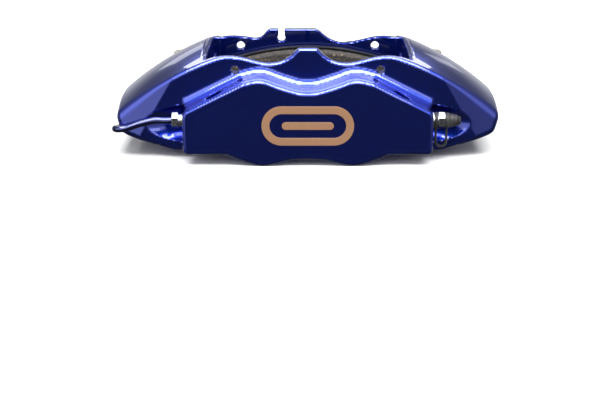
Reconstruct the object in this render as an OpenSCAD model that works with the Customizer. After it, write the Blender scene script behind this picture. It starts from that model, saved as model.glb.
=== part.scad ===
// Fixed four-piston brake caliper for a 370 x 34 mm disc, radial mount.
// Sub-parts are drawn about the disc: Y is the disc's axis with the outboard
// side at -Y, Z points out of the disc, and Y = 0 is the disc's mid-plane.
// in_row() then moves the origin between the two mounting holes.

/* [Disc] */
// Radius of the disc that runs in the slot
disc_r = 185; // [184:0.5:186]
// Thickness of a new disc
disc_t = 34; // [32:0.5:35]

/* [Body] */
// Radius of the crowned envelope about the disc's centre
crown_r = 207; // [206:0.5:208]
// Mid-plane to the front of the cylinder housing
housing_y = 70; // [68:0.5:72]
// Mid-plane to the outer face of a side wall
wall_out = 48; // [47:0.5:49]
// Mid-plane to the inner face of a side wall
wall_in = 36; // [35.5:0.5:36.5]
// Half length of the bay that holds the pads
bay_x = 71.5; // [71:0.5:72]
// Half length of the outboard cylinder housing
housing_x = 87; // [85:0.5:88]
// Height of the flat under the housing and of the mounting face
base_z = 127.5; // [127:0.5:128]

/* [Cylinders] */
// Radius of each piston
piston_r = 22; // [21:0.25:22]
// Distance of a bore from the caliper's centre
bore_x = 34; // [33:0.5:35]
// Height of the bores above the disc's centre
bore_z = 153.5; // [152:0.5:154]
// Radial clearance of a piston in its bore
bore_gap = 0.05; // [0.03:0.01:0.08]
// Length of a piston
piston_l = 26; // [25:0.5:27]

/* [Pads] */
// Thickness of new friction material
lining_t = 11; // [10:0.5:11]
// Thickness of a pad's steel back plate
plate_t = 6; // [5:0.5:6]
// Thickness of the shim behind a pad
shim_t = 0.8; // [0.5:0.1:0.8]
// Distance of a pad-pin hole from the caliper's centre
pin_x = 51; // [50:0.5:52]
// Height of the pad-pin holes
pin_z = 183; // [182.5:0.5:183.5]
// Radius of a pad-pin hole
pin_r = 3; // [2.8:0.1:3.2]
// Thickness of a side wall beside the pad window
crest_t = 5.5; // [5:0.5:6]

/* [Mounting] */
// Distance of a mounting hole from the caliper's centre
mount_x = 95; // [94:0.5:96]
// Mid-plane to the mounting holes
mount_y = 60; // [59:0.5:61]
// Radius of the hole through a mounting bush
mount_r = 6.25; // [6.1:0.05:6.5]

/* [Hydraulics] */
// Outside radius of the crossover pipe
pipe_r = 2.4; // [2.3:0.05:2.5]
// Radius of a pipe or bleed port
port_r = 5; // [4.5:0.25:5]
// Mid-plane to the outboard ports
port_y = 55; // [54.5:0.5:55.5]
// Height of the outboard ports
port_z = 148.5; // [148:0.5:149]

/* [Hidden] */
$fn = 64;
sides = [["left", -1], ["right", 1]];
halves = [["outboard", -1], ["inboard", 1]];

paint = [0.03, 0.07, 0.45];
copper = [0.69, 0.53, 0.41];
steel = [0.74, 0.75, 0.77];
zinc = [0.85, 0.84, 0.74];
rubber = [0.08, 0.08, 0.09];
iron = [0.2, 0.2, 0.21];
friction = [0.32, 0.29, 0.27];

// Clearances around the disc
slot_r = disc_r + 3.5;
slot_y = disc_t / 2 + 3;
run_gap = 0.3;
// Stack of one pad, outwards from the disc
lining_y = disc_t / 2 + run_gap;
plate_y = lining_y + lining_t;
shim_y = plate_y + plate_t;
piston_y = shim_y + shim_t + 0.1;
bore_end = piston_y + piston_l + 2.3;
// Lower corners of a pad, cut clear of the abutment screws
pad_low = 137;
pad_foot_x = 58;
// Grooves in a bore
wiper_y = wall_in + 1.6;
wiper_w = 2;
seal_y = wall_in + 7;
seal_w = 3.8;
groove_r = piston_r + 3.2;
// Mounting lug
lug_r = 13;
lug_top = 164;
bush_r = 8.5;
collar_h = 10;
// Bridge bolts: two at each end over the disc
bolt_r = 4;
bolt_ring_r = 194.5;
bolt_angles = [24.3, 40.5];
bolt_seat = 34;
bolt_tip = -30;
dowel_angle = 32.4;
// Inboard ports, on the rear of the end blocks
rear_port_x = 116;
rear_port_z = 141;
rear_port_y = 58;
passage_y = 50;
// Wrench scoops in the outboard wall
scoop_r = 14.5;
scoop_z = 144.5;
scoop_depth = 9.5;
scoop_tilt = 20;
hose_r = 4.5;
// Facet that lays the front of each end back: a point on its crease, the
// crease's lean and the facet's slope
facet_at = [96, 174.8];
facet_lean = 30.6;
facet_slope = 9;
// Foot of the thin wall beside the pad window, above the seal grooves
relief_z = 181;
relief_rise = 4;
// Floor of the round pockets in the ledge, from the disc's centre
pocket_r0 = 175.5;
// Abutment plates
abut_t = 0.8;
abut_screw_z = 131;

// ---- Outlines, as points [x, z] joined by a smooth curve ----

function spline(p, n) = [
    for (i = [0 : len(p) - 2], k = [0 : n - 1])
        let (a = p[max(i - 1, 0)], b = p[i], c = p[i + 1], d = p[min(i + 2, len(p) - 1)], t = k / n)
            0.5 * (2 * b + (c - a) * t + (2 * a - 5 * b + 4 * c - d) * t * t
                + (3 * b - a - 3 * c + d) * t * t * t),
    p[len(p) - 1]];
function flip(p) = [for (i = [len(p) - 1 : -1 : 0]) [-p[i][0], p[i][1]]];
function both(p) = concat(flip(p), [for (i = [1 : len(p) - 1]) p[i]]);
function polar(r, a) = [r * sin(a), r * cos(a)];

// Lower edge of the housing: a lobe round each cylinder, then a flat
lobe = [[0, 124], [12, 123.4], [22, 120.8], [31.5, 119.5], [40, 121], [47.7, 123.6],
    [57, base_z]];
// Upper edge of the housing: a hump over each cylinder, then a straight slope
hump = [[0, 171.5], [7, 172], [20, 176], [29, 179.4], [36, 180], [46, 177.6]];
// Upper edge of the outboard wall: centre tab, valley and crest
front_crest = [[11.5, 193], [17.3, 189.4], [24, 187.7], [30.6, 187.8], [38.7, 189.6],
    [46.9, 191.7], [58, 192.6], [66, 192.2]];
front_tab = [6.5, 198];
// Upper edge of the inboard wall, right of its tab and left of it
rear_right = [[9.9, 193.1], [15.7, 188.5], [22.7, 185.5], [29.7, 184.9], [38.9, 186.7],
    [49.3, 189.1], [57.5, 189.9], [66, 189.2]];
rear_left = [[-66, 189.2], [-57.5, 190.1], [-46.6, 189.3], [-39.8, 188.4], [-35, 189.8],
    [-31.1, 194]];
rear_tab = [[-28.5, 195.5], [6.4, 195.5]];
// Lower edge of an end block, out to its tip
end_low = [[95, 124.5], [105, 127.4], [115, 129.8], [124, 132.6], [130.5, 135.3],
    [133.6, 138.5], [136.6, 148], [138.3, 154]];
end_top = [[138.3, 200], [74, 215], [74, 190]];

function lower_edge(flat_z) = concat(spline(lobe, 4), [[80, flat_z]],
    [for (p = spline(end_low, 3)) [p[0], max(p[1], flat_z)]]);
housing_edge = concat(both(concat(spline(lobe, 4), [[housing_x, base_z]])),
    [for (p = both(concat(spline(hump, 4), [[housing_x, 157.2]]))) [-p[0], p[1]]]);

module outboard_outline() {
    up = concat([front_tab], spline(front_crest, 3));
    polygon(concat(both(lower_edge(124)),
        [for (p = end_top) p], [for (i = [len(up) - 1 : -1 : 0]) up[i]],
        [for (p = up) [-p[0], p[1]]],
        [for (i = [2 : -1 : 0]) [-end_top[i][0], end_top[i][1]]]));
}

module inboard_outline() {
    right = spline(rear_right, 3);
    left = spline(rear_left, 3);
    polygon(concat(both(lower_edge(base_z)), end_top,
        [for (i = [len(right) - 1 : -1 : 0]) right[i]], [rear_tab[1], rear_tab[0]],
        [for (i = [len(left) - 1 : -1 : 0]) left[i]],
        [for (i = [2 : -1 : 0]) [-end_top[i][0], end_top[i][1]]]));
}

// ---- Helpers ----

module in_row() {
    translate([0, -mount_y, -base_z]) children();
}

// Extrude an [x, z] outline along Y from y0 to y1
module slab(y0, y1) {
    translate([0, y1, 0]) rotate([90, 0, 0]) linear_extrude(y1 - y0) children();
}

// Cylinder along +Y from y0 to y1 at [x, z]
module rod_y(p, y0, y1, r) {
    translate([p[0], y0, p[1]]) rotate([-90, 0, 0]) cylinder(r = r, h = y1 - y0);
}

// Cylinder along +X from x0 to x1 at [y, z]
module rod_x(p, x0, x1, r) {
    translate([x0, p[0], p[1]]) rotate([0, 90, 0]) cylinder(r = r, h = x1 - x0);
}

// Solid turned about Y from [radius, y] points; side -1 turns it outboard
module turned(p, side) {
    translate([p[0], 0, p[1]]) mirror([0, side < 0 ? 1 : 0, 0])
        rotate([-90, 0, 0]) rotate_extrude() children();
}

// ---- Body halves ----

module bore_cut(side) {
    for (s = [-1, 1]) turned([s * bore_x, bore_z], side) {
        translate([0, wall_in - 1]) square([piston_r + bore_gap, bore_end - wall_in + 1]);
        translate([0, wiper_y]) square([groove_r, wiper_w]);
        translate([0, seal_y]) square([groove_r, seal_w]);
    }
}

// Space for the disc and for the pads
module bay_cut() {
    rod_y([0, 0], -slot_y, slot_y, slot_r);
    translate([-bay_x, -wall_in, 100]) cube([2 * bay_x, 2 * wall_in, 120]);
}

module bolt_cut() {
    for (s = [-1, 1]) {
        for (a = bolt_angles) {
            rod_y(polar(bolt_ring_r, s * a), bolt_tip - 3, 60, bolt_r + 0.05);
            rod_y(polar(bolt_ring_r, s * a), bolt_seat, 80, bolt_r + 3);
        }
        rod_y(polar(bolt_ring_r + 1.5, s * dowel_angle), -8.3, 8.3, 3.02);
    }
}

module abutment_cut(side) {
    for (s = [-1, 1]) rod_x([side * 28, abut_screw_z], min(s * 70, s * 80), max(s * 70, s * 80), 2);
}

// Wrench room round an outboard port: a round cut that runs out of the wall
module scoop(s) {
    translate([s * housing_x, -wall_out + scoop_depth - scoop_r, scoop_z])
        rotate([0, 0, -s * scoop_tilt]) rotate([0, s * 90, 0])
            translate([0, 0, -6]) cylinder(r = scoop_r, h = 56);
}

// Lays the front of an end back from a slanting crease
module end_facet(s) {
    mirror([s < 0 ? 1 : 0, 0, 0]) translate([facet_at[0], -wall_out, facet_at[1]])
        rotate([0, -facet_lean, 0]) rotate([0, 0, facet_slope])
            translate([0, -20, -70]) cube([80, 20, 140]);
}

// Thins the outboard wall from inside, above the cylinders
module window_relief() {
    translate([-bay_x, -wall_out + crest_t, relief_z]) cube([2 * bay_x, 20, 60]);
}

// Thins the inboard wall from behind, above the cylinders
module rear_relief() {
    top = both(concat([for (p = spline(hump, 4)) p + [0, relief_rise]],
        [[68, 166.7 + relief_rise], [68, 215]]));
    slab(wall_in + crest_t, wall_out + 1) polygon(top);
}

// Breaks the upright front corners of the housing
module corner_cut() {
    for (s = [-1, 1])
        translate([s * housing_x, -housing_y, 100]) rotate([0, 0, 45])
            translate([-2, -2, 0]) cube([4, 4, 100]);
}

module outboard_half() {
    color(paint) in_row() difference() {
        union() {
            difference() {
                intersection() {
                    slab(-wall_out, 0) outboard_outline();
                    sphere(crown_r);
                }
                for (s = [-1, 1]) {
                    scoop(s);
                    end_facet(s);
                }
            }
            slab(-housing_y, -wall_out + 1) polygon(housing_edge);
        }
        bay_cut();
        bore_cut(-1);
        bolt_cut();
        abutment_cut(-1);
        corner_cut();
        for (s = [-1, 1]) {
            rod_y([s * pin_x, pin_z], -wall_out - 1, -wall_in + 1, pin_r);
            // Pocket in the ledge, square to the crown
            rotate([0, s * 21.3, 0]) translate([0, -60, pocket_r0]) cylinder(r = 6.5, h = 20);
        }
        window_relief();
        rod_x([-port_y, port_z], -housing_x - 1, -housing_x + 14, port_r);
        rod_x([-port_y, port_z], housing_x - 14, housing_x + 1, port_r);
        rod_x([-port_y, port_z], -housing_x + 5, housing_x - 5, 2);
    }
}

module inboard_half() {
    color(paint) in_row() difference() {
        union() {
            intersection() {
                slab(0, wall_out) inboard_outline();
                sphere(crown_r);
            }
            intersection() {
                slab(wall_out - 1, housing_y) polygon(housing_edge);
                translate([-mount_x + 5, 0, 100]) cube([2 * mount_x - 10, 90, 100]);
            }
            for (s = [-1, 1]) {
                translate([s * mount_x, mount_y, base_z]) cylinder(r = lug_r, h = lug_top - base_z);
                translate([s * mount_x - lug_r, wall_out - 1, base_z])
                    cube([2 * lug_r, mount_y - wall_out + 1, lug_top - base_z]);
                rod_y([s * rear_port_x, rear_port_z], wall_out - 1, rear_port_y, 8);
                translate([s * (rear_port_x - 6) - 6, wall_out - 1, rear_port_z - 8])
                    cube([12, rear_port_y - wall_out + 1, 16]);
            }
        }
        bay_cut();
        rear_relief();
        bore_cut(1);
        bolt_cut();
        abutment_cut(1);
        for (s = [-1, 1]) {
            rod_y([s * pin_x, pin_z], wall_in - 1, wall_out + 1, pin_r);
            translate([s * mount_x, mount_y, base_z - 1]) cylinder(r = bush_r, h = 60);
            rod_y([s * rear_port_x, rear_port_z], rear_port_y - 12, rear_port_y + 1, port_r);
        }
        rod_x([passage_y, rear_port_z], -rear_port_x, rear_port_x, 1.2);
        rod_y([0, rear_port_z], housing_y - 16, housing_y + 1, hose_r);
        rod_y([0, rear_port_z], passage_y, housing_y, 1.5);
        // Open keyhole in the tab
        slab(wall_in - 1, wall_out + 1) {
            translate([-20, 189]) circle(2.9);
            translate([-22.3, 189]) square([4.6, 10]);
        }
    }
}

// Generic badge: a rounded frame round a plain bar
module emblem() {
    module pill(w, h) {
        for (s = [-1, 1]) translate([s * (w - h) / 2, 0]) circle(h / 2);
        square([w - h, h], center = true);
    }
    color(copper) in_row() slab(-housing_y - 0.6, -housing_y) translate([0, 148.5]) {
        difference() {
            pill(64, 28);
            pill(53, 17);
        }
        pill(36, 5.5);
    }
}

// ---- Bridge and mounting hardware ----

module bridge_bolts() {
    color(steel) in_row() for (s = [-1, 1], a = bolt_angles) difference() {
        union() {
            rod_y(polar(bolt_ring_r, s * a), bolt_tip, bolt_seat + 2, bolt_r);
            rod_y(polar(bolt_ring_r, s * a), bolt_seat + 1.6, bolt_seat + 9.6, 6.5);
        }
        translate([0, bolt_seat + 5.6, 0]) rotate([-90, 0, 0])
            translate([polar(bolt_ring_r, s * a)[0], -polar(bolt_ring_r, s * a)[1], 0])
                cylinder(r = 3.46, h = 5, $fn = 6);
    }
}

module bridge_washers() {
    color(zinc) in_row() for (s = [-1, 1], a = bolt_angles) difference() {
        rod_y(polar(bolt_ring_r, s * a), bolt_seat, bolt_seat + 1.6, 6.8);
        rod_y(polar(bolt_ring_r, s * a), bolt_seat - 1, bolt_seat + 3, bolt_r + 0.1);
    }
}

module bridge_dowels() {
    color(steel) in_row() for (s = [-1, 1])
        rod_y(polar(bolt_ring_r + 1.5, s * dowel_angle), -8, 8, 3);
}

module mounting_bushes() {
    color(zinc) in_row() for (s = [-1, 1]) translate([s * mount_x, mount_y, 0]) difference() {
        union() {
            translate([0, 0, base_z]) cylinder(r = bush_r, h = lug_top - base_z + 1);
            translate([0, 0, lug_top]) cylinder(r = 9.5, h = collar_h);
        }
        translate([0, 0, base_z - 1]) cylinder(r = mount_r, h = 60);
    }
}

// ---- Crossover pipe and its nuts ----

// Half of the route, from the outboard nut round the end of the body
pipe_front = [[-84, -55, 148.5], [-94.5, -55, 148.5], [-100.5, -54.2, 148.1],
    [-108, -52.6, 147.8], [-119, -52, 145], [-128, -52, 142], [-134, -51, 141],
    [-136.8, -47, 140.3], [-137.2, -38, 138.3], [-136.6, -27, 136], [-136.2, -14, 135],
    [-136, 0, 134.8]];
pipe_rear = [[-136.2, 14, 135], [-137, 27, 136], [-138.5, 40, 138], [-139, 52, 139.5],
    [-137, 62, 140.5], [-132.5, 70, 141], [-126.5, 75, 141], [-120.5, 75.5, 141],
    [-117, 72, 141], [-116, 66.5, 141], [-116, 56, 141]];
pipe_path = spline(concat(pipe_front, pipe_rear), 3);

function unit(v) = v / norm(v);
function heading(p, i) = unit(p[min(i + 1, len(p) - 1)] - p[max(i - 1, 0)]);

module sweep(path, r, sides_n) {
    rings = [for (i = [0 : len(path) - 1])
        let (t = heading(path, i), a = unit(cross(t, [0.3, 0.2, 1])), b = cross(t, a))
            for (k = [0 : sides_n - 1])
                path[i] + r * (cos(360 * k / sides_n) * a + sin(360 * k / sides_n) * b)];
    n = len(path);
    quads = [for (i = [0 : n - 2], k = [0 : sides_n - 1])
        let (a = i * sides_n + k, b = i * sides_n + (k + 1) % sides_n)
            [a, b, b + sides_n, a + sides_n]];
    caps = [[for (k = [sides_n - 1 : -1 : 0]) k], [for (k = [0 : sides_n - 1]) (n - 1) * sides_n + k]];
    polyhedron(rings, concat(quads, caps), convexity = 8);
}

module crossover_pipe() {
    color(paint) in_row() sweep(pipe_path, pipe_r, 10);
}

// Flare nut along +Z: thread below 0, neck, hexagon
module flare_nut() {
    difference() {
        union() {
            translate([0, 0, -9]) cylinder(r = port_r - 0.05, h = 9.5);
            cylinder(r = 4.6, h = 4);
            translate([0, 0, 3.9]) rotate([0, 0, 30]) cylinder(r = 5.8, h = 4.3, $fn = 6);
        }
        translate([0, 0, -10]) cylinder(r = pipe_r + 0.3, h = 20);
    }
}

module outboard_pipe_nut() {
    color(steel) in_row() translate([-housing_x, -port_y, port_z]) rotate([0, -90, 0]) flare_nut();
}

module inboard_pipe_nut() {
    color(steel) in_row() translate([-rear_port_x, rear_port_y, rear_port_z])
        rotate([-90, 0, 0]) flare_nut();
}

// ---- Bleed screws, caps and straps, along +Z from the port's mouth ----

module bleed_screw() {
    difference() {
        union() {
            translate([0, 0, -12]) cylinder(r = port_r - 0.05, h = 12.5);
            cylinder(r = 6, h = 1.4);
            translate([0, 0, 1.3]) cylinder(r = 4.2, h = 3.4);
            translate([0, 0, 4.6]) rotate([0, 0, 30]) cylinder(r = 6, h = 4.6, $fn = 6);
            translate([0, 0, 9.1]) cylinder(r = 2.6, h = 8.8);
            translate([0, 0, 14]) cylinder(r1 = 3.3, r2 = 2.4, h = 3.5);
        }
        translate([0, 0, -13]) cylinder(r = 0.9, h = 40);
    }
}

module bleed_cap() {
    difference() {
        union() {
            translate([0, 0, 9.4]) cylinder(r = 5.5, h = 3);
            translate([0, 0, 12.3]) cylinder(r = 4.7, h = 3);
            translate([0, 0, 15.2]) cylinder(r = 4.1, h = 2.6);
            translate([0, 0, 17.7]) cylinder(r1 = 3.7, r2 = 2.6, h = 2.6);
        }
        translate([0, 0, 9]) cylinder(r = 3.4, h = 9.4);
    }
}

// Ring round the screw's neck and the strap that loops down from it to the cap
module cap_strap() {
    difference() {
        union() {
            translate([0, 0, 1.9]) cylinder(r = 5.9, h = 2.2);
            rotate([0, 0, -90]) rotate([90, 0, 0]) linear_extrude(2.4, center = true) {
                translate([5.4, 2.2]) square([9.6, 1.6]);
                translate([5.8, 9.7]) square([9.2, 1.6]);
                translate([15, 6.75]) difference() {
                    circle(4.55);
                    circle(2.95);
                    translate([-8, -8]) square([8, 16]);
                }
            }
        }
        translate([0, 0, 1]) cylinder(r = 4.5, h = 4);
    }
}

module outboard_bleed_place() {
    in_row() translate([housing_x, -port_y, port_z]) rotate([90, 0, 90]) children();
}

module inboard_bleed_place() {
    in_row() translate([rear_port_x, rear_port_y, rear_port_z]) rotate([-90, 0, 0])
        mirror([0, 1, 0]) children();
}

module outboard_bleed_screw() {
    color(steel) outboard_bleed_place() bleed_screw();
}

module inboard_bleed_screw() {
    color(steel) inboard_bleed_place() bleed_screw();
}

module outboard_bleed_cap() {
    color(rubber) outboard_bleed_place() bleed_cap();
}

module inboard_bleed_cap() {
    color(rubber) inboard_bleed_place() bleed_cap();
}

module outboard_cap_strap() {
    color(rubber) outboard_bleed_place() cap_strap();
}

module inboard_cap_strap() {
    color(rubber) inboard_bleed_place() cap_strap();
}

// ---- Pistons, seals and wipers ----

module piston(side, s) {
    color(steel) in_row() turned([s * bore_x, bore_z], side) difference() {
        translate([0, piston_y]) square([piston_r, piston_l]);
        translate([0, piston_y - 1]) square([piston_r - 5, piston_l - 4]);
    }
}

module ring(side, s, y, w, inner) {
    in_row() turned([s * bore_x, bore_z], side)
        translate([inner, y]) square([groove_r - 0.05 - inner, w]);
}

module seal(side, s) {
    color(rubber) ring(side, s, seal_y + 0.1, seal_w - 0.2, piston_r + bore_gap);
}

module wiper(side, s) {
    color(rubber) ring(side, s, wiper_y + 0.1, wiper_w - 0.2, piston_r + bore_gap);
}

// ---- Pads ----

module sector(r0, r1, half_x, low_z) {
    intersection() {
        difference() {
            circle(r1);
            circle(r0);
        }
        translate([-half_x, low_z]) square([2 * half_x, 120]);
    }
}

module pad_outline(r0, r1, half_x) {
    sector(r0, r1, half_x, pad_low);
    // Between its lower corners the pad reaches down to the edge of the swept ring
    intersection() {
        sector(r0, r1, pad_foot_x, 100);
        translate([-pad_foot_x, 118]) square([2 * pad_foot_x, 40]);
    }
}

module pad_layer(side, y0, t) {
    in_row() slab(min(side * y0, side * (y0 + t)), max(side * y0, side * (y0 + t))) children();
}

module pad_plate(side) {
    color(iron) pad_layer(side, plate_y, plate_t) pad_outline(137, 184, 70.2);
}

module pad_lining(side) {
    color(friction) pad_layer(side, lining_y, lining_t) difference() {
        pad_outline(139, 182, 66);
        translate([-1.5, 100]) square([3, 120]);
    }
}

module pad_shim(side) {
    color(steel) pad_layer(side, shim_y, shim_t) difference() {
        pad_outline(139, 179, 66);
        translate([-8, 100]) square([16, 45]);
    }
}

// ---- Abutments ----

module abutment(side, s) {
    color(steel) in_row() difference() {
        translate([s > 0 ? bay_x - abut_t : -bay_x, side > 0 ? 21 : -35.5, 128])
            cube([abut_t, 14.5, 46]);
        rod_x([side * 28, abut_screw_z], -80, 80, 2.2);
    }
}

module abutment_screws() {
    color(steel) in_row() for (side = [-1, 1], s = [-1, 1])
        translate([s * bay_x, side * 28, abut_screw_z]) rotate([0, s * 90, 0]) difference() {
            union() {
                translate([0, 0, -abut_t - 1.8]) cylinder(r = 3.5, h = 1.8);
                translate([0, 0, -abut_t - 0.5]) cylinder(r = 1.98, h = 8.5);
            }
            translate([0, 0, -abut_t - 2]) cylinder(r = 1.44, h = 1.4, $fn = 6);
        }
}

outboard_half();
inboard_half();
emblem();
bridge_bolts();
bridge_washers();
bridge_dowels();
mounting_bushes();
crossover_pipe();
outboard_pipe_nut();
inboard_pipe_nut();
outboard_bleed_screw();
inboard_bleed_screw();
outboard_bleed_cap();
inboard_bleed_cap();
outboard_cap_strap();
inboard_cap_strap();
for (h = halves, s = sides) {
    piston(h[1], s[1]);
    seal(h[1], s[1]);
    wiper(h[1], s[1]);
    abutment(h[1], s[1]);
}
for (h = halves) {
    pad_plate(h[1]);
    pad_lining(h[1]);
    pad_shim(h[1]);
}
abutment_screws();
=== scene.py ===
"""Fixed four-piston brake caliper: the finished looks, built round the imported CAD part.

Shapes are written in millimetres about the brake disc, as in the CAD: Y is the disc's axis with
the outboard side at -Y, and Z points out of the disc. Each piece is a distance function that
contour() turns into a mesh, so that edges are rounded and inside corners filleted the way a
machined and lacquered casting has them.
"""

import math

import bmesh
import bpy
import numpy as np
from mathutils import Matrix, Vector


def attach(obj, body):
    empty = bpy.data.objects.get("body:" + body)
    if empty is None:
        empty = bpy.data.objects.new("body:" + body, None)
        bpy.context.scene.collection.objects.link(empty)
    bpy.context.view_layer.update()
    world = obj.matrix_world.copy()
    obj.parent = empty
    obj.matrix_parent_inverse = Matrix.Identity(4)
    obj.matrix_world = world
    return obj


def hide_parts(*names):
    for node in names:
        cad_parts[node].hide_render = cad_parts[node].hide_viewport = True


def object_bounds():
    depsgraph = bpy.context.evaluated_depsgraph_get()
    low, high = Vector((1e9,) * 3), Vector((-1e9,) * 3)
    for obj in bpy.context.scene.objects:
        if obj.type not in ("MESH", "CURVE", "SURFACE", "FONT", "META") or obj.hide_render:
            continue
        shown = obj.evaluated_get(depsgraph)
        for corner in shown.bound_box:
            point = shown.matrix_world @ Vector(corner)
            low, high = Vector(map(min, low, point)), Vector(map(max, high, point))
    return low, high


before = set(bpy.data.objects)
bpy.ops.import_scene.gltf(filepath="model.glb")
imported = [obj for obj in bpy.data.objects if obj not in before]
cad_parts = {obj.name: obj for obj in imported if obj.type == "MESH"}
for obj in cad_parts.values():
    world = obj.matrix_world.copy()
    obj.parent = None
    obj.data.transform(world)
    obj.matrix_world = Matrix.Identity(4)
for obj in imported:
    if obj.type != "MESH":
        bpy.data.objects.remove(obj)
cad_box = [list(corner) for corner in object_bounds()]
scene = bpy.context.scene

# The row frame's origin, and the sizes in mm that several shapes share, as in the CAD
MOUNT_Z = 127.5
LUG_X, LUG_Y = 95, 60
ORIGIN = np.array([0.0, LUG_Y, MOUNT_Z])
BORE_X, BORE_Z, BORE_R = 34, 153.5, 22.05
OUT_PORT = (87, -55, 148.5)
IN_PORT = (116, 58, 141)
BOLT_CIRCLE, BOLT_ANGLES = 194.5, (24.3, 40.5)
PAD_X = 70.2


def row(x, y, z):
    """Disc frame in mm to row frame in metres."""
    return Vector(((x - ORIGIN[0]) / 1000, (y - ORIGIN[1]) / 1000, (z - ORIGIN[2]) / 1000))


# ---- Camera, lights, floor ----

camera = bpy.data.objects.new("camera", bpy.data.cameras.new("camera"))
scene.collection.objects.link(camera)
scene.camera = camera
camera.location = row(0, -921, 380)
camera.rotation_euler = (math.radians(90 - 18.54), 0, 0)
camera.data.sensor_width = 36
camera.data.lens = 76.5
camera.data.shift_x = -0.013
camera.data.clip_start = 0.01

scene.view_settings.view_transform = "Standard"


def area_light(name, at, aim, size, power, colour=(1, 1, 1)):
    light = bpy.data.lights.new(name, "AREA")
    light.shape = "RECTANGLE"
    light.size, light.size_y = size
    light.energy = power
    light.color = colour
    o = bpy.data.objects.new(name, light)
    scene.collection.objects.link(o)
    o.location = at
    o.rotation_euler = (Vector(aim) - Vector(at)).to_track_quat("-Z", "Y").to_euler()


area_light("softbox_front_top", (0.0, -0.5, 1.05), (0, 0, 0.02), (1.5, 0.8), 36)
area_light("softbox_top", (0.0, 0.3, 1.0), (0, 0, 0.02), (1.4, 0.4), 4)
area_light("softbox_back", (0.0, 0.95, 0.65), (0, 0, 0.02), (1.2, 0.2), 2.5)
area_light("softbox_front", (0.0, -1.2, 0.6), (0, -0.05, 0.02), (1.4, 0.3), 2.5)
area_light("card_left", (-0.52, 1.5, 0.36), (-0.1, 0, 0.03), (0.3, 0.2), 0.18, (0.96, 0.98, 1))
area_light("card_right", (0.6, 1.5, 0.3), (0.1, 0, 0.03), (0.1, 0.25), 0.05, (0.96, 0.98, 1))


def studio_world():
    """The glow that the lacquer mirrors, and white where the camera looks past the floor.

    It is bright behind the object, dim above and in front of it, and has a patch at either side.
    """
    world = bpy.data.worlds.new("studio")
    scene.world = world
    world.use_nodes = True
    tree = world.node_tree
    tree.nodes.clear()
    new, link = tree.nodes.new, tree.links.new
    sep = new("ShaderNodeSeparateXYZ")
    link(new("ShaderNodeTexCoord").outputs["Generated"], sep.inputs[0])

    def ramp(axis, lo, hi, a, b):
        m = new("ShaderNodeMapRange")
        m.interpolation_type = "SMOOTHSTEP"
        link(sep.outputs[axis], m.inputs["Value"])
        for k, v in (("From Min", lo), ("From Max", hi), ("To Min", a), ("To Max", b)):
            m.inputs[k].default_value = v
        return m.outputs["Result"]

    def maths(kind, a, b):
        m = new("ShaderNodeMath")
        m.operation = kind
        for i, v in enumerate((a, b)):
            if isinstance(v, (int, float)):
                m.inputs[i].default_value = v
            else:
                link(v, m.inputs[i])
        return m.outputs[0]

    low = maths("MULTIPLY", ramp("Z", 0.3, -0.1, 0.0, 0.6), ramp("Z", -0.5, -0.35, 0.0, 1.0))
    back = maths("MULTIPLY", ramp("Y", 0.0, 0.9, 0.0, 1.0), low)
    front = maths("MULTIPLY", ramp("Y", 0.1, -0.5, 0.0, 0.4), ramp("Z", 0.03, 0.3, 0.0, 1.0))
    left = maths("MULTIPLY", ramp("X", -0.22, -0.42, 0.0, 1.0), ramp("Z", -0.35, -0.15, 0.0, 1.0))
    right = maths("MULTIPLY", ramp("X", 0.22, 0.42, 0.0, 0.3), ramp("Z", -0.35, -0.15, 0.0, 1.0))
    sides = maths("MULTIPLY", maths("ADD", left, right), ramp("Y", 0.0, -0.5, 0.0, 1.0))
    glow = maths("ADD", maths("ADD", ramp("Z", 0.1, 0.6, 0.05, 0.3), back), maths("ADD", front, sides))
    seen = new("ShaderNodeLightPath").outputs["Is Camera Ray"]
    mix = new("ShaderNodeMix")
    link(seen, mix.inputs["Factor"])
    link(glow, mix.inputs["A"])
    mix.inputs["B"].default_value = 1.0
    bg = new("ShaderNodeBackground")
    bg.inputs["Color"].default_value = (0.96, 0.97, 1.0, 1)
    link(mix.outputs["Result"], bg.inputs["Strength"])
    link(bg.outputs[0], new("ShaderNodeOutputWorld").inputs[0])


studio_world()

# ---- Materials ----


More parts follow.
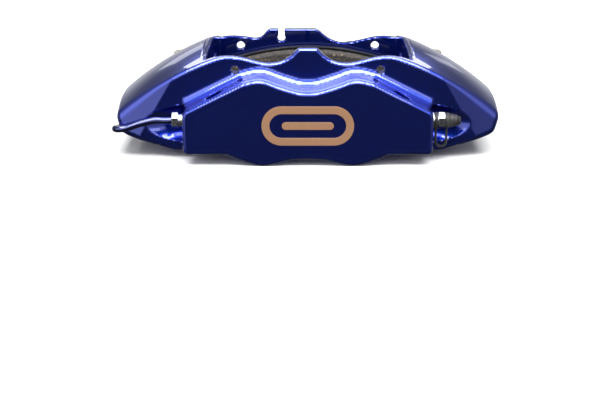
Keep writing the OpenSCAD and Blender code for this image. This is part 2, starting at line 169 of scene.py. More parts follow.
class Shader:
    """A node material round one Principled shader."""

    def __init__(self, name, colour, roughness, **sockets):
        self.mat = bpy.data.materials.new(name)
        self.mat.use_nodes = True
        self.tree = self.mat.node_tree
        self.bsdf = self.tree.nodes["Principled BSDF"]
        self.mat.diffuse_color = (*colour, 1)
        self.put("Base Color", (*colour, 1))
        self.put("Roughness", roughness)
        for k, v in sockets.items():
            self.put(k.replace("_", " "), v)
        self.height = None
        self.coord = self.node("ShaderNodeTexCoord").outputs["Object"]

    def put(self, socket, value):
        self.bsdf.inputs[socket].default_value = value

    def node(self, kind, **props):
        n = self.tree.nodes.new(kind)
        for k, v in props.items():
            setattr(n, k, v)
        return n

    def noise(self, scale, detail=3.0, stretch=None, rough=0.5):
        n = self.node("ShaderNodeTexNoise")
        n.inputs["Scale"].default_value = scale
        n.inputs["Detail"].default_value = detail
        n.inputs["Roughness"].default_value = rough
        source = self.coord
        if stretch:
            m = self.node("ShaderNodeMapping")
            m.inputs["Scale"].default_value = stretch
            self.tree.links.new(source, m.inputs["Vector"])
            source = m.outputs["Vector"]
        self.tree.links.new(source, n.inputs["Vector"])
        return n.outputs["Fac"]

    def cells(self, scale, feature="F1"):
        n = self.node("ShaderNodeTexVoronoi", feature=feature)
        n.inputs["Scale"].default_value = scale
        self.tree.links.new(self.coord, n.inputs["Vector"])
        return n

    def span(self, value, lo, hi, a=0.35, b=0.65):
        m = self.node("ShaderNodeMapRange")
        self.tree.links.new(value, m.inputs["Value"])
        for k, v in (("From Min", a), ("From Max", b), ("To Min", lo), ("To Max", hi)):
            m.inputs[k].default_value = v
        return m.outputs["Result"]

    def colours(self, value, stops):
        r = self.node("ShaderNodeValToRGB")
        ramp = r.color_ramp
        while len(ramp.elements) < len(stops):
            ramp.elements.new(0.5)
        for e, (at, c) in zip(ramp.elements, stops):
            e.position = at
            e.color = (*c, 1)
        self.tree.links.new(value, r.inputs["Fac"])
        return r.outputs["Color"]

    def link(self, value, socket):
        self.tree.links.new(value, self.bsdf.inputs[socket])

    def bump(self, value, depth, strength=1.0):
        b = self.node("ShaderNodeBump")
        b.inputs["Distance"].default_value = depth
        b.inputs["Strength"].default_value = strength
        self.tree.links.new(value, b.inputs["Height"])
        if self.height is not None:
            self.tree.links.new(self.height, b.inputs["Normal"])
        self.height = b.outputs["Normal"]
        self.link(self.height, "Normal")


def lacquer(name, colour, deep):
    """A metallic base with a slight flake under a smooth clear coat."""
    s = Shader(name, colour, 0.25, Metallic=0.97, Coat_Weight=1.0, Coat_Roughness=0.03, Coat_IOR=1.8)
    flake = s.cells(2600)
    s.link(s.colours(s.noise(5, 1), [(0.25, deep), (0.75, colour)]), "Base Color")
    s.link(s.span(flake.outputs["Distance"], 0.235, 0.265, 0.0, 1.0), "Roughness")
    return s.mat


def metal(name, colour, roughness, grain=(1, 1, 1), scale=400, depth=0.00002, tint=0.12, **kw):
    """Bare or plated metal, with a fine grain that can be stretched along one axis."""
    s = Shader(name, colour, roughness, **{"Metallic": 1.0, **kw})
    darker = tuple(c * (1 - 2 * tint) for c in colour)
    s.link(s.colours(s.noise(60, 4), [(0.3, darker), (0.7, colour)]), "Base Color")
    s.link(s.span(s.noise(scale, 3, grain), roughness * 0.75, roughness * 1.3), "Roughness")
    s.bump(s.noise(scale, 2, grain), depth)
    return s.mat


BLUE = lacquer("blue_lacquer", (0.009, 0.036, 0.42), (0.007, 0.030, 0.38))
PIPE = lacquer("pipe_lacquer", (0.009, 0.022, 0.17), (0.007, 0.018, 0.14))
COPPER = metal(
    "copper_satin", (0.20, 0.101, 0.048), 0.55, scale=1500, depth=0.000004, tint=0.02, Metallic=0.15
)
STEEL = metal("plated_steel", (0.72, 0.73, 0.75), 0.22, scale=900)
STAINLESS = metal("stainless_sheet", (0.60, 0.60, 0.61), 0.3, grain=(1, 14, 1), scale=500, depth=0.00001)
GROUND = metal("ground_stainless", (0.66, 0.66, 0.67), 0.2, grain=(1, 1, 30), scale=300, depth=0.000006)
ZINC = metal("zinc_plate", (0.80, 0.78, 0.66), 0.34, scale=500)
BLACK = metal("black_oxide", (0.035, 0.035, 0.038), 0.42, scale=800, tint=0.2)


def rubber():
    s = Shader("black_rubber", (0.018, 0.018, 0.019), 0.6, Specular_IOR_Level=0.4)
    shades = [(0.3, (0.012, 0.012, 0.013)), (0.7, (0.026, 0.026, 0.027))]
    s.link(s.colours(s.noise(120, 4), shades), "Base Color")
    s.link(s.span(s.noise(260), 0.48, 0.7), "Roughness")
    s.bump(s.noise(2600, 2), 0.00003)
    return s.mat


def friction():
    s = Shader("friction_material", (0.07, 0.06, 0.055), 0.85)
    grains = s.cells(900)
    shades = [
        (0.0, (0.012, 0.011, 0.010)),
        (0.55, (0.030, 0.027, 0.024)),
        (0.8, (0.055, 0.045, 0.036)),
        (0.97, (0.20, 0.15, 0.10)),
    ]
    s.link(s.colours(grains.outputs["Color"], shades), "Base Color")
    s.bump(grains.outputs["Distance"], 0.0002, 0.7)
    s.bump(s.noise(300, 4), 0.0002, 0.5)
    return s.mat


RUBBER = rubber()
FRICTION = friction()

# ---- Contouring a distance function ----


def ticks(*runs):
    """Grid lines from runs of (start, end, step)."""
    parts = []
    for start, end, step in runs:
        n = max(1, round(abs(end - start) / step))
        parts.append(np.linspace(start, end, n + 1)[:-1])
    return np.concatenate(parts + [[runs[-1][1]]])


def slope(f, p, h=0.05):
    """Unit gradient of f at points p."""
    g = np.empty_like(p)
    for k in range(3):
        a, b = p.copy(), p.copy()
        a[:, k] -= h
        b[:, k] += h
        g[:, k] = f(*b.T) - f(*a.T)
    return g / np.maximum(np.linalg.norm(g, axis=1, keepdims=True), 1e-12)


def contour(f, xs, ys, zs, h=0.05):
    """Vertices and quads of f = 0 on a grid, by dual contouring, so that sharp edges stay sharp."""
    X, Y, Z = np.meshgrid(xs, ys, zs, indexing="ij", sparse=True)
    shape = (len(xs), len(ys), len(zs))
    v = np.broadcast_to(f(X, Y, Z), shape)
    inside = v < 0
    axes = (xs, ys, zs)
    points, cells, quads = [], [], []
    cell_shape = tuple(n - 1 for n in shape)
    for k in range(3):
        lo = [slice(None)] * 3
        hi = [slice(None)] * 3
        lo[k], hi[k] = slice(0, -1), slice(1, None)
        cross = inside[tuple(lo)] != inside[tuple(hi)]
        idx = np.argwhere(cross)
        # edges on the grid's border have no four cells round them
        others = [a for a in range(3) if a != k]
        ok = np.all([(idx[:, a] > 0) & (idx[:, a] < shape[a] - 1) for a in others], axis=0)
        idx = idx[ok]
        up = idx.copy()
        up[:, k] += 1
        a, b = v[tuple(idx.T)], v[tuple(up.T)]
        t = a / (a - b)
        p = np.stack([axes[i][idx[:, i]] for i in range(3)], axis=1).astype(float)
        p[:, k] += t * (axes[k][up[:, k]] - axes[k][idx[:, k]])
        points.append(p)
        u, w = others
        four = []
        for du, dw in ((0, 0), (1, 0), (1, 1), (0, 1)):
            c = idx.copy()
            c[:, u] -= du
            c[:, w] -= dw
            four.append(np.ravel_multi_index(tuple(c.T), cell_shape))
        four = np.stack(four, axis=1)
        cells.append(four)
        # turn each quad so that its normal points out
        out_up = a < b
        flip = out_up if k == 1 else ~out_up
        quads.append(np.where(flip[:, None], four, four[:, ::-1]))
    p = np.concatenate(points)
    four = np.concatenate(cells)
    quad = np.concatenate(quads)
    n = slope(f, p, h)
    used, inverse = np.unique(quad, return_inverse=True)
    quad = inverse.reshape(quad.shape)
    key = np.searchsorted(used, four)
    m = len(used)
    count = np.bincount(key.ravel(), minlength=m).astype(float)
    centre = np.stack([np.bincount(key.ravel(), np.repeat(p[:, i], 4), m) for i in range(3)], 1)
    centre /= count[:, None]
    A = np.zeros((m, 3, 3))
    B = np.zeros((m, 3))
    nn, pp, kk = np.repeat(n, 4, axis=0), np.repeat(p, 4, axis=0), key.ravel()
    d = np.einsum("ij,ij->i", nn, pp - centre[kk])
    for i in range(3):
        B[:, i] = np.bincount(kk, nn[:, i] * d, m)
        for j in range(i, 3):
            A[:, i, j] = A[:, j, i] = np.bincount(kk, nn[:, i] * nn[:, j], m)
    A += np.eye(3) * (0.06 * count)[:, None, None]
    move = np.linalg.solve(A, B[:, :, None])[:, :, 0]
    vert = centre + move
    ci = np.stack(np.unravel_index(used, cell_shape), axis=1)
    for k in range(3):
        a0, a1 = axes[k][ci[:, k]], axes[k][ci[:, k] + 1]
        slack = 0.1 * (a1 - a0)
        vert[:, k] = np.clip(vert[:, k], a0 - slack, a1 + slack)
    return vert, quad


def piece(name, f, grid, material, body, node, place=None, h=0.05, soft=38, joint=0):
    """A mesh of f in the row frame, riding on a body and standing for a CAD node.

    Vertices nearer to Y = 0 than joint are set onto it, and those on its rim onto the skin just
    beside it, so that two mating pieces meet without a groove.
    """
    vert, quad = contour(f, *grid, h=h)
    normal = slope(f, vert, h)
    if joint:
        near = np.flatnonzero(np.abs(vert[:, 1]) < joint)
        beside = vert[near]
        beside[:, 1] = 0.4 * np.sign(vert[:, 1].mean())
        off, out = f(*beside.T), slope(f, beside, h)
        rim = np.abs(off) < 0.35
        normal[near[rim]] = out[rim]
        vert[near[rim]] -= off[rim, None] * out[rim]
        vert[near, 1] = 0
    if place is not None:
        m = np.array(place)
        vert = vert @ m[:3, :3].T + m[:3, 3]
        normal = normal @ m[:3, :3].T
        if np.linalg.det(m[:3, :3]) < 0:
            quad = quad[:, ::-1]
    vert = np.clip((vert - ORIGIN) / 1000, *cad_box)
    return mesh_piece(name, vert, quad, normal, material, body, node, soft)


def mesh_piece(name, vert, quad, normal, material, body, node, soft=38):
    me = bpy.data.meshes.new(name)
    me.vertices.add(len(vert))
    me.vertices.foreach_set("co", vert.astype(np.float32).ravel())
    me.loops.add(quad.size)
    me.loops.foreach_set("vertex_index", quad.astype(np.int32).ravel())
    me.polygons.add(len(quad))
    me.polygons.foreach_set("loop_start", np.arange(0, quad.size, quad.shape[1], dtype=np.int32))
    me.update(calc_edges=True)
    me.validate()
    me.polygons.foreach_set("use_smooth", np.ones(len(me.polygons), bool))
    if normal is not None and len(me.polygons) == len(quad):
        flat = np.empty(len(quad) * 3, np.float32)
        me.polygons.foreach_get("normal", flat)
        flat = np.repeat(flat.reshape(-1, 3), quad.shape[1], axis=0)
        loop = normal[quad.ravel()]
        keep = np.einsum("ij,ij->i", flat, loop) > math.cos(math.radians(soft))
        me.normals_split_custom_set(np.where(keep[:, None], loop, flat).tolist())
    me.materials.append(material)
    o = bpy.data.objects.new(name, me)
    scene.collection.objects.link(o)
    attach(o, body)
    if node:
        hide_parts(*([node] if isinstance(node, str) else node))
    return o


def both_in(a, b, r):
    """Intersection with a rounded edge."""
    return np.minimum(-r, np.maximum(a, b)) + np.hypot(np.maximum(a + r, 0), np.maximum(b + r, 0))


def either(a, b, r):
    """Union with a filleted inside corner."""
    return -both_in(-a, -b, r)


def cut(a, b, r):
    """a without b, with a rounded edge."""
    return both_in(a, -b, r)


def step(v):
    v = np.clip(v, 0, 1)
    return v * v * (3 - 2 * v)


# ---- Outlines ----


def through(p, n):
    """A smooth curve through points, with n steps between neighbours."""
    p = np.array(p, float)
    out = []
    for i in range(len(p) - 1):
        a, b, c, d = p[max(i - 1, 0)], p[i], p[i + 1], p[min(i + 2, len(p) - 1)]
        for k in range(n):
            t = k / n
            bend = (2 * a - 5 * b + 4 * c - d) * t * t + (3 * b - a - 3 * c + d) * t**3
            out.append(0.5 * (2 * b + (c - a) * t + bend))
    return np.array(out + [p[-1]])


def spline(p, n=9):
    return [tuple(q) for q in through(p, n)]


def flip(p):
    return [(-x, z) for x, z in reversed(p)]


def both(p):
    return flip(p) + p[1:]


class Outline:
    """Signed distance to a closed [x, z] outline, from a table."""

    def __init__(self, pts, pitch=0.4, margin=14):
        pts = np.array(pts, float)
        keep = np.linalg.norm(pts - np.roll(pts, 1, axis=0), axis=1) > 1e-6
        pts = pts[keep]
        self.lo = pts.min(0) - margin
        self.pitch = pitch
        n = np.ceil((pts.max(0) + margin - self.lo) / pitch).astype(int) + 1
        columns, rows = (self.lo[k] + pitch * np.arange(n[k]) for k in range(2))
        X, Z = np.meshgrid(columns, rows, indexing="ij")
        d2 = np.full(X.shape, 1e12)
        inside = np.zeros(X.shape, bool)
        for a, b in zip(pts, np.roll(pts, -1, axis=0)):
            e = b - a
            wx, wz = X - a[0], Z - a[1]
            t = np.clip((wx * e[0] + wz * e[1]) / (e @ e), 0, 1)
            d2 = np.minimum(d2, (wx - e[0] * t) ** 2 + (wz - e[1] * t) ** 2)
            if e[1]:
                inside ^= ((a[1] > Z) != (b[1] > Z)) & (wx < wz * e[0] / e[1])
        self.table = np.where(inside, -1, 1) * np.sqrt(d2)

    def __call__(self, x, z):
        x, z = np.broadcast_arrays(x, z)
        u = np.clip((x - self.lo[0]) / self.pitch, 0, self.table.shape[0] - 1.001)
        w = np.clip((z - self.lo[1]) / self.pitch, 0, self.table.shape[1] - 1.001)
        i, j = u.astype(int), w.astype(int)
        u, w = u - i, w - j
        t = self.table
        low = t[i, j] * (1 - u) + t[i + 1, j] * u
        high = t[i, j + 1] * (1 - u) + t[i + 1, j + 1] * u
        return low * (1 - w) + high * w


LOBE = [(0, 124), (12, 123.4), (22, 120.8), (31.5, 119.5), (40, 121), (47.7, 123.6), (57, 127.5)]
HUMP = [(0, 171.5), (7, 172), (20, 176), (29, 179.4), (36, 180), (46, 177.6)]
FRONT_CREST = [
    (11.5, 193), (17.3, 189.4), (24, 187.7), (30.6, 187.8),
    (38.7, 189.6), (46.9, 191.7), (58, 192.6), (66, 192.2),
]
REAR_RIGHT = [
    (9.9, 193.1), (15.7, 188.5), (22.7, 185.5), (29.7, 184.9),
    (38.9, 186.7), (49.3, 189.1), (57.5, 189.9), (66, 189.2),
]
REAR_LEFT = [(-66, 189.2), (-57.5, 190.1), (-46.6, 189.3), (-39.8, 188.4), (-35, 189.8), (-31.1, 194)]
END_LOW = [
    (95, 124.5), (105, 127.4), (115, 129.8), (124, 132.6),
    (130.5, 135.3), (133.6, 138.5), (136.6, 148), (138.3, 154),
]
END_TOP = [(138.3, 200), (74, 215), (74, 190)]


def lower_edge(flat_z):
    return spline(LOBE) + [(80, flat_z)] + [(x, max(z, flat_z)) for x, z in spline(END_LOW)]


def outboard_outline():
    up = [(6.5, 198)] + spline(FRONT_CREST)
    return both(lower_edge(124)) + END_TOP + up[::-1] + flip(up[::-1]) + flip(END_TOP)


def inboard_outline():
    right = spline(REAR_RIGHT)
    left = spline(REAR_LEFT)
    tab = [(6.4, 195.5), (-28.5, 195.5)]
    return both(lower_edge(MOUNT_Z)) + END_TOP + right[::-1] + tab + left[::-1] + flip(END_TOP)


OUTER = Outline(outboard_outline())
INNER = Outline(inboard_outline())
CORNERS = [(83.6, 127.5), (85.3, 127.9), (86.6, 129.2), (87, 130.9), (87, 154), (86.7, 156), (85.2, 158)]
HOUSING = Outline(both(spline(LOBE) + CORNERS[:4]) + both(spline(HUMP) + CORNERS[:3:-1])[::-1])
RAISED = [(x, z + 4) for x, z in both(spline(HUMP) + [(87, 157.2)])]
RELIEF = Outline([(-150, 100), (150, 100)] + RAISED[::-1])

# ---- The two halves ----


def turn(deg):
    return math.cos(math.radians(deg)), math.sin(math.radians(deg))


CROWN_R = 207
WALL_Y = 48
CREASE = (96, 174.8)
CREASE_LEAN, FACET_SLOPE = 30.6, 9


def wall(outline, side, x, y, z):
    """The upright wall and the shoulders of one half: outline, crown and front face."""
    crown = np.sqrt(x * x + y * y + z * z) - CROWN_R
    face = side * y - WALL_Y
    if side < 0:
        # past a slanting crease, the fronts of the ends lie back
        c, s = turn(CREASE_LEAN)
        run = (abs(x) - CREASE[0]) * c + (z - CREASE[1]) * s
        c, s = turn(FACET_SLOPE)
        face = np.maximum(face, face * c + run * s)
    edge = 2.3 + 2.7 * step((abs(x) - 95) / 30)
    return both_in(both_in(outline(x, z), crown, 2 + 2 * step((abs(x) - 110) / 20)), face, edge)


def housing(x, z, depth, r):
    return both_in(HOUSING(x, z), depth, r)


def from_axis(r, deg, x, z):
    """Distance in X and Z from an axis on a circle about the disc, on either side."""
    c, s = turn(deg)
    return np.hypot(abs(x) - r * s, z - r * c)


def common_cuts(d, side, x, y, z):
    """What is cut out of both halves."""
    sy = side * y
    ring = np.hypot(x, z)
    # the disc's slot and the pad window, with a step high in the outboard wall
    d = cut(d, np.maximum(ring - 188.5, abs(y) - 20), 0.8)
    depth = np.minimum(sy - 36, np.maximum(sy - 42.5, 181 - z)) if side < 0 else sy - 36
    d = cut(d, np.maximum(abs(x) - 71.5, depth), 1.0)
    # the bores, with their grooves for a seal and a wiper
    bore = np.hypot(abs(x) - BORE_X, z - BORE_Z)
    d = cut(d, np.maximum(bore - BORE_R, np.maximum(30 - sy, sy - 63.5)), 0.4)
    for lo, hi in ((37.6, 39.6), (43, 46.8)):
        d = np.maximum(d, -np.maximum(bore - 25.2, np.maximum(lo - sy, sy - hi)))
    # the bridge bolts' holes, and their counterbores in the inboard half
    for a in BOLT_ANGLES:
        q = from_axis(BOLT_CIRCLE, a, x, z)
        d = cut(d, np.maximum(q - 4.05, sy - (33 if side < 0 else 60)), 0.4)
        if side > 0:
            d = cut(d, np.maximum(q - 7, 34 - sy), 0.5)
    # the dowels' holes, the pad pins' holes and the abutment screws' holes
    d = np.maximum(d, -np.maximum(from_axis(196, 32.4, x, z) - 3.02, sy - 8.3))
    pin = np.hypot(abs(x) - 51, z - 183)
    d = cut(d, np.maximum(pin - 3, np.maximum(30 - sy, sy - 55)), 0.6)
    screw = np.hypot(sy - 28, z - 131)
    return np.maximum(d, -np.maximum(screw - 2, np.maximum(68 - abs(x), abs(x) - 80)))


def outboard_half(x, y, z):
    d = wall(OUTER, -1, x, y, z)
    px, py, pz = OUT_PORT
    # wrench scoops beside the ports, running in at a slant
    c, s = turn(20)
    qx, qy, qz = abs(x) - px, y + 53, z - 144.5
    scoop = np.maximum(np.hypot(qx * s + qy * c, qz) - 14.5, -6 - (qx * c - qy * s))
    d = cut(d, scoop, 0.6)
    # the housing, with a wide fillet on the ledge and a tight one at its ends
    fillet = 0.8 + 6.2 * step((89 - abs(x)) / 1.6) * step((z - 148) / 8)
    block = housing(x, z, -70 - y, 2.4)
    block = np.maximum(block, y + 40)
    d = either(d, block, fillet)
    # round pockets in the ledge, and the ports
    c, s = turn(21.3)
    pocket = np.maximum(np.hypot(abs(x) * c - z * s, y + 60) - 6.5, 175.5 - (abs(x) * s + z * c))
    d = cut(d, pocket, 0.5)
    port = np.hypot(y - py, z - pz)
    d = cut(d, np.maximum(port - 5, 72 - abs(x)), 0.4)
    d = common_cuts(d, -1, x, y, z)
    return np.maximum(d, y)


def inboard_half(x, y, z):
    d = wall(INNER, 1, x, y, z)
    block = np.maximum(housing(x, z, y - 70, 2.4), 40 - y)
    block = both_in(block, abs(x) - 90, 1.5)
    # the mounting lugs and the port bosses
    px, py, pz = IN_PORT
    lug = np.hypot(abs(x) - LUG_X, np.maximum(y - LUG_Y, 0)) - 13
    lug = both_in(lug, np.maximum(z - 164, MOUNT_Z - z), 1.4)
    lug = np.maximum(lug, 40 - y)
    boss = np.hypot(np.maximum(abs(x) - px, 0), z - pz) - 8
    boss = both_in(np.maximum(boss, 104 - abs(x)), y - py, 1.2)
    boss = np.maximum(boss, 40 - y)
    d = either(either(either(d, block, 2.2), lug, 2.2), boss, 1.8)
    # the bushes' holes, the ports and the hose port
    d = cut(d, np.hypot(abs(x) - LUG_X, y - LUG_Y) - 8.5, 0.3)
    d = cut(d, np.maximum(np.hypot(abs(x) - px, z - pz) - 5, 46 - y), 0.4)
    d = cut(d, np.maximum(np.hypot(x, z - pz) - 4.5, 54 - y), 0.6)
    # the thinner wall above the housing, and the keyhole slot in its tab
    relief = np.maximum(np.maximum(abs(x) - 68, -RELIEF(x, z)), 41.5 - y)
    d = cut(d, relief, 1.0)
    key = np.minimum(np.hypot(x + 20, z - 189) - 2.9, np.maximum(abs(x + 20) - 2.3, 189 - z))
    d = cut(d, np.maximum(key, np.maximum(33 - y, y - 52)), 0.9)
    d = common_cuts(d, 1, x, y, z)
    return np.maximum(d, -y)


fine = 1.0
XS = ticks((-140.3, 140.4, fine))
ZS = ticks((117.8, 208.1, fine))
YS = ticks(
    (-71.4, -66.1, 0.75), (-66.1, -50.3, 1.3), (-50.3, -41.6, 0.75), (-41.6, -34.2, 0.75),
    (-34.2, -21.3, 1.6), (-21.3, -18.7, 0.8), (-18.7, 1.4, 1.7),
)
for half, shape, lines in (("outboard", outboard_half, YS), ("inboard", inboard_half, -YS[::-1])):
    name = f"{half}_half"
    piece(f"{name}_body", shape, (XS, lines, ZS), BLUE, "root", name, joint=0.45)

# ---- Hexagons, nuts, bleed screws and caps, along +Z from a port's mouth ----


def hexagon(x, y, flat):
    c, s = 0.5, math.sqrt(0.75)
    return np.maximum(abs(y), np.maximum(abs(x * s + y * c), abs(x * s - y * c))) - flat


def between(z, lo, hi):
    return np.maximum(lo - z, z - hi)


def nut(x, y, z):
    rho = np.hypot(x, y)
    hexa = np.maximum(hexagon(y, x, 5.02), between(z, 3.9, 8.2))
    hexa = np.maximum(hexa, (rho - 5.2) * 0.5 + (z - 8.2) * 0.866)
    hexa = np.maximum(hexa, (rho - 5.4) * 0.5 + (4 - z) * 0.866)
    neck = np.maximum(rho - 4.6, between(z, 0, 4))
    thread = np.maximum(rho - 4.75 + 0.15 * np.cos(2 * math.pi * z), between(z, -9, 0.5))
    d = np.minimum(either(hexa, neck, 0.3), thread)
    return cut(d, rho - 2.7, 0.35)


def bleed_screw(x, y, z):
    rho = np.hypot(x, y)
    hexa = np.maximum(hexagon(y, x, 5.19), between(z, 4.6, 9.2))
    hexa = np.maximum(hexa, (rho - 5.3) * 0.5 + (z - 9.2) * 0.866)
    hexa = np.maximum(hexa, (rho - 5.6) * 0.5 + (4.7 - z) * 0.866)
    flange = both_in(rho - 6, between(z, 0, 1.4), 0.3)
    thread = np.maximum(rho - 4.75 + 0.15 * np.cos(2 * math.pi * z), between(z, -12, 0.5))
    thread = np.minimum(thread, np.maximum(rho - 4.1, between(z, 0, 4.8)))
    neck = np.maximum(rho - 2.6, between(z, 8, 17.9))
    barb = np.maximum(rho - (3.3 - (z - 14) * 0.257), between(z, 14, 17.5))
    d = np.minimum(np.minimum(hexa, flange), np.minimum(thread, either(neck, barb, 0.3)))
    return cut(d, rho - 0.9, 0.15)


def cap(x, y, z):
    rho = np.hypot(x, y)
    d = both_in(rho - 5.5, between(z, 9.4, 12.4), 0.6)
    d = either(d, both_in(rho - 4.7, between(z, 11, 15.3), 0.5), 0.4)
    d = either(d, both_in(rho - 4.1, between(z, 14, 17.8), 0.4), 0.4)
    d = either(d, both_in(rho - (3.7 - (z - 17.7) * 0.42), between(z, 16, 20.3), 0.6), 0.3)
    return cut(d, np.maximum(rho - 3.4, z - 18.4), 0.25)


def strap(x, y, z):
    ring = both_in(np.hypot(x, y) - 5.9, between(z, 1.9, 4.1), 0.5)
    ring = np.maximum(ring, 4.5 - np.hypot(x, y))
    loop = abs(np.hypot(np.maximum(-y - 15, 0), z - 6.75) - 3.75) - 0.8
    start = np.where(z < 6.75, 5.2, 5.8)
    loop = np.maximum(loop, start + y)
    loop = both_in(loop, abs(x) - 1.2, 0.35)
    return either(ring, loop, 0.4)


def at(x, y, z, along, up):
    """Places local +Z along one direction and local +Y along another."""
    w, v = np.array(along, float), np.array(up, float)
    m = np.eye(4)
    m[:3, 0], m[:3, 1], m[:3, 2] = np.cross(v, w), v, w
    m[:3, 3] = (x, y, z)
    return m


small = 0.32
G = ticks((-7.07, 7.08, small))
NUT_GRID = (G, G, ticks((-9.37, 8.4, small)))
BLEED_GRID = (G, G, ticks((-12.33, 18.4, small)))
CAP_GRID = (G, G, ticks((9.03, 20.8, small)))
STRAP_GRID = (G, ticks((-20.1, 6.5, small)), ticks((1.53, 11.9, small)))
# pipe nuts at the left ports, bleed screws at the right ones
UP = (0, 0, 1)


def port_place(half, side):
    (x, y, z), along = (OUT_PORT, (side, 0, 0)) if half == "outboard" else (IN_PORT, (0, 1, 0))
    return at(side * x, y, z, along, UP)


for half in ("outboard", "inboard"):
    place = port_place(half, -1)
    piece(f"{half}_nut_body", nut, NUT_GRID, STEEL, "root", f"{half}_pipe_nut", place)
for half in ("outboard", "inboard"):
    place = port_place(half, 1)
    name, slot = f"{half}_bleed_screw", "bright_steel"
    piece(f"{half}_bleed_body", bleed_screw, BLEED_GRID, STEEL, f"{half}_bleeder", name, place)
    name, slot = f"{half}_bleed_cap", "black_rubber"
    piece(f"{half}_cap_body", cap, CAP_GRID, RUBBER, f"{half}_cap", name, place)
    piece(f"{half}_strap_body", strap, STRAP_GRID, RUBBER, "root", f"{half}_cap_strap", place)

# ---- Crossover pipe ----

ROUTE = [
    (-84, -55, 148.5), (-94.5, -55, 148.5), (-100.5, -54.2, 148.1), (-108, -52.6, 147.8),
    (-119, -52, 145), (-128, -52, 142), (-134, -51, 141), (-136.8, -47, 140.3),
    (-137.2, -38, 138.3), (-136.6, -27, 136), (-136.2, -14, 135), (-136, 0, 134.8),
    (-136.2, 14, 135), (-137, 27, 136), (-138.5, 40, 138), (-139, 52, 139.5),
    (-137, 62, 140.5), (-132.5, 70, 141), (-126.5, 75, 141), (-120.5, 75.5, 141),
    (-117, 72, 141), (-116, 66.5, 141), (-116, 56, 141),
]


def tube(name, path, r, sides, material, body, node):
    """A round tube along a path, with rings that don't twist."""
    t = np.gradient(path, axis=0)
    t /= np.linalg.norm(t, axis=1, keepdims=True)
    a = np.cross(t[0], (0.3, 0.2, 1.0))
    rings, normals = [], []
    for p, d in zip(path, t):
        a = a - d * (a @ d)
        a /= np.linalg.norm(a)
        b = np.cross(d, a)
        w = 2 * math.pi * np.arange(sides) / sides
        n = np.cos(w)[:, None] * a + np.sin(w)[:, None] * b
        rings.append(p + r * n)
        normals.append(n)
    n = len(path)
    i, k = np.meshgrid(np.arange(n - 1), np.arange(sides), indexing="ij")
    a, b = i * sides + k, i * sides + (k + 1) % sides
    quad = np.stack([a, b, b + sides, a + sides], -1).reshape(-1, 4)
    vert = np.clip((np.concatenate(rings) - ORIGIN) / 1000, *cad_box)
    mesh_piece(name, vert, quad, np.concatenate(normals), material, body, node)


tube("crossover_pipe_body", through(ROUTE, 7), 2.4, 28, PIPE, "root", "crossover_pipe")

# ---- Badge, bushes, bolts, washers ----


def pill(x, z, w, h):
    return np.hypot(np.maximum(abs(x) - (w - h) / 2, 0), z) - h / 2


def badge(x, y, z):
    zz = z - 148.5
    border = np.maximum(pill(x, zz, 64, 28), -pill(x, zz, 53, 17))
    d = np.minimum(border, pill(x, zz, 36, 5.5))
    return both_in(d, np.maximum(-70.6 - y, y + 69.9), 0.25)


grid = (ticks((-32.6, 32.7, 0.5)), ticks((-70.75, -69.75, 0.12)), ticks((134.2, 163.1, 0.5)))
piece("badge_body", badge, grid, COPPER, "root", "emblem", h=0.02)


def bush(x, y, z):
    rho = np.hypot(abs(x) - LUG_X, y - LUG_Y)
    d = np.minimum(np.maximum(rho - 8.45, MOUNT_Z - z), both_in(rho - 9.5, 164 - z, 0.4))
    d = both_in(d, z - 174, 0.9)
    d = np.maximum(d, MOUNT_Z - z)
    return cut(d, rho - 6.25, 0.7)


for s, side in ((-1, "left"), (1, "right")):
    c = LUG_X * s
    across, heights = ticks((49.97, 70.02, 0.6)), ticks((127.1, 162.1, 1.5), (162.1, 174.7, 0.5))
    grid = (ticks((c - 10.03, c + 10.04, 0.6)), across, heights)
    piece(f"bush_{side}", bush, grid, ZINC, "root", "mounting_bushes")


def bridge_bolt(x, y, z):
    rho = np.hypot(x, y)
    shank = both_in(rho - 4 + 0.12 * np.cos(2 * math.pi * z / 1.25) * (z < 12), between(z, -30, 36), 0.5)
    knurl = 0.12 * np.cos(36 * np.arctan2(y, x))
    head = both_in(rho - 6.4 + knurl, between(z, 35.6, 43.6), 0.6)
    d = np.minimum(shank, head)
    return cut(d, np.maximum(hexagon(x, y, 3), 39.6 - z), 0.15)


def washer(x, y, z):
    rho = np.hypot(x, y)
    return cut(both_in(rho - 6.8, between(z, 34, 35.6), 0.25), rho - 4.1, 0.15)


near, far = BOLT_ANGLES
G = ticks((-6.83, 6.84, 0.4))
BOLT_GRID = (G, G, ticks((-30.6, 33.1, 0.6), (33.1, 44.1, 0.4)))
G = ticks((-7.13, 7.14, 0.4))
WASHER_GRID = (G, G, ticks((33.7, 36, 0.23)))
for i, (side, a) in enumerate([(-1, far), (-1, near), (1, near), (1, far)]):
    c, s = turn(a)
    place = at(side * BOLT_CIRCLE * s, 0, BOLT_CIRCLE * c, (0, 1, 0), UP)
    name, slot = f"bridge_bolt_{i}", "black_steel"
    piece(name, bridge_bolt, BOLT_GRID, BLACK, "root", "bridge_bolts", place)
    name, slot = f"bridge_washer_{i}", "zinc_plate"
    piece(name, washer, WASHER_GRID, ZINC, "root", "bridge_washers", place)

# ---- Pads ----


def sector(x, z, r0, r1, half_x, low):
    rho = np.hypot(x, z)
    return np.maximum(np.maximum(rho - r1, r0 - rho), np.maximum(abs(x) - half_x, low - z))


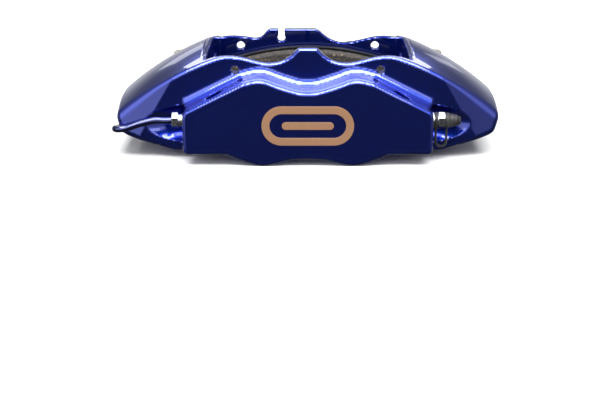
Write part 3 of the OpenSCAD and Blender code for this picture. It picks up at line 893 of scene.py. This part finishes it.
def pad_shape(x, z, r0, r1, half_x):
    """A pad seen along Y: an arch between two circles, on a narrower foot."""
    foot = np.maximum(sector(x, z, r0, r1, 58, 118), z - 158)
    return np.minimum(sector(x, z, r0, r1, half_x, 137), foot)


def plate(x, y, z):
    return both_in(pad_shape(x, z, 137, 184, PAD_X), between(y, 28.3, 34.3), 0.6)


def lining(x, y, z):
    d = both_in(pad_shape(x, z, 139, 182, 66), 17.3 - y, 1.6)
    d = both_in(d, y - 28.3, 0.1)
    return cut(d, abs(x) - 1.5, 0.5)


PX = ticks((-70.7, 70.8, 0.95))
PZ = ticks((117.4, 185.3, 0.95))
PLATE_GRID = (PX, ticks((27.9, 34.8, 0.7)), PZ)
LINING_GRID = (PX, ticks((16.9, 20.1, 0.7), (20.1, 28.8, 1.7)), PZ)
for half, place in (("outboard", Matrix.Scale(-1, 4, (0, 1, 0))), ("inboard", None)):
    pad = f"{half}_pad"
    name, slot = f"{pad}_plate", "black_steel"
    piece(f"{half}_plate_body", plate, PLATE_GRID, BLACK, pad, name, place)
    name, slot = f"{pad}_lining", "friction"
    piece(f"{half}_lining_body", lining, LINING_GRID, FRICTION, pad, name, place)

# ---- The CAD nodes that stay, by a part of their name; the first that fits is taken ----

KEPT = {
    "piston": GROUND,
    "seal": RUBBER,
    "wiper": RUBBER,
    "abutment_screws": STEEL,
    "abutment": STAINLESS,
    "shim": STAINLESS,
    "dowel": STEEL,
}
for name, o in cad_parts.items():
    for key, material in KEPT.items():
        if key in name:
            o.data.materials.clear()
            o.data.materials.append(material)
            break

# ---- Floor ----

bm = bmesh.new()
bmesh.ops.create_grid(bm, x_segments=1, y_segments=1, size=4)
me = bpy.data.meshes.new("floor")
bm.to_mesh(me)
bm.free()
floor = bpy.data.objects.new("floor", me)
scene.collection.objects.link(floor)
floor.location = (0, 0, cad_box[0][2] - 0.0005)
card = Shader("floor_card", (0.86, 0.86, 0.86), 0.8)
shades = [(0.3, (0.85, 0.85, 0.85)), (0.7, (0.87, 0.87, 0.87))]
card.link(card.colours(card.noise(3, 2), shades), "Base Color")
floor.data.materials.append(card.mat)
floor.visible_glossy = False
